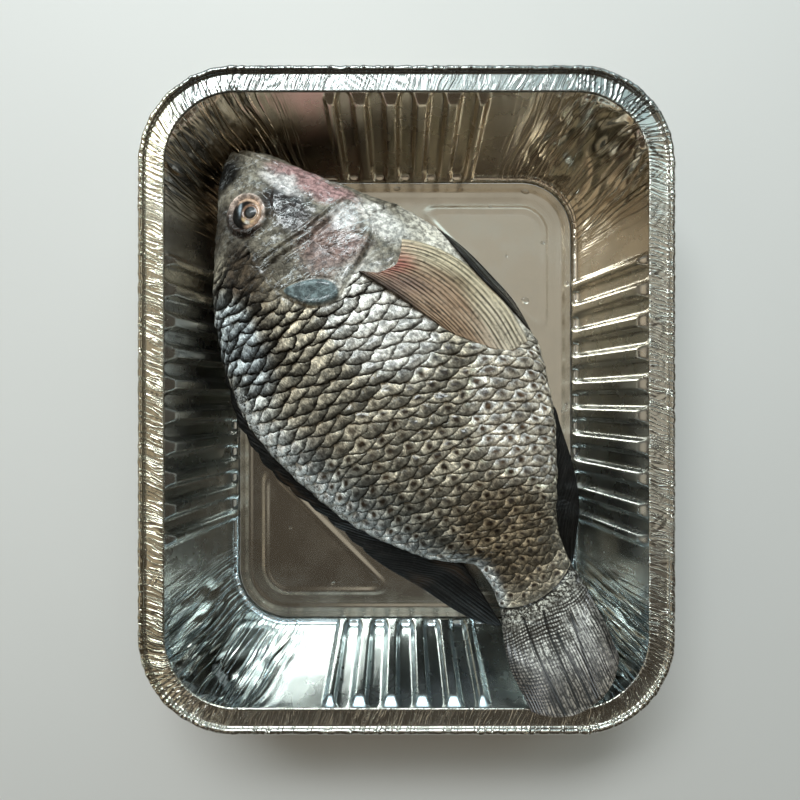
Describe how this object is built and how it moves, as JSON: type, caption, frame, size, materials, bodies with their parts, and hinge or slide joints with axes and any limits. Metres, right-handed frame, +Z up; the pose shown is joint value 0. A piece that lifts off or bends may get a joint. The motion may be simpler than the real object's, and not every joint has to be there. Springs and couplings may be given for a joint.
{
  "type": "whole fish in foil tray",
  "caption": "Whole raw scaly fish lying on its side in a deep rectangular foil tray with fluted walls, ready for the oven.",
  "frame": {"origin": "middle of the tray's underside, which is also the bottom centre of the whole", "axes": "+Z up, +Y along the tray's long side towards the end where the head lies, +X across the tray towards the belly's side"},
  "size_m": [0.2616, 0.3256, 0.07],
  "materials": {
    "foil": "bright crinkled foil",
    "fish_skin": "wet scaly skin"
  },
  "bodies": {
    "root": {"tray": "foil", "fish": "fish_skin"}
  },
  "joints": []
}
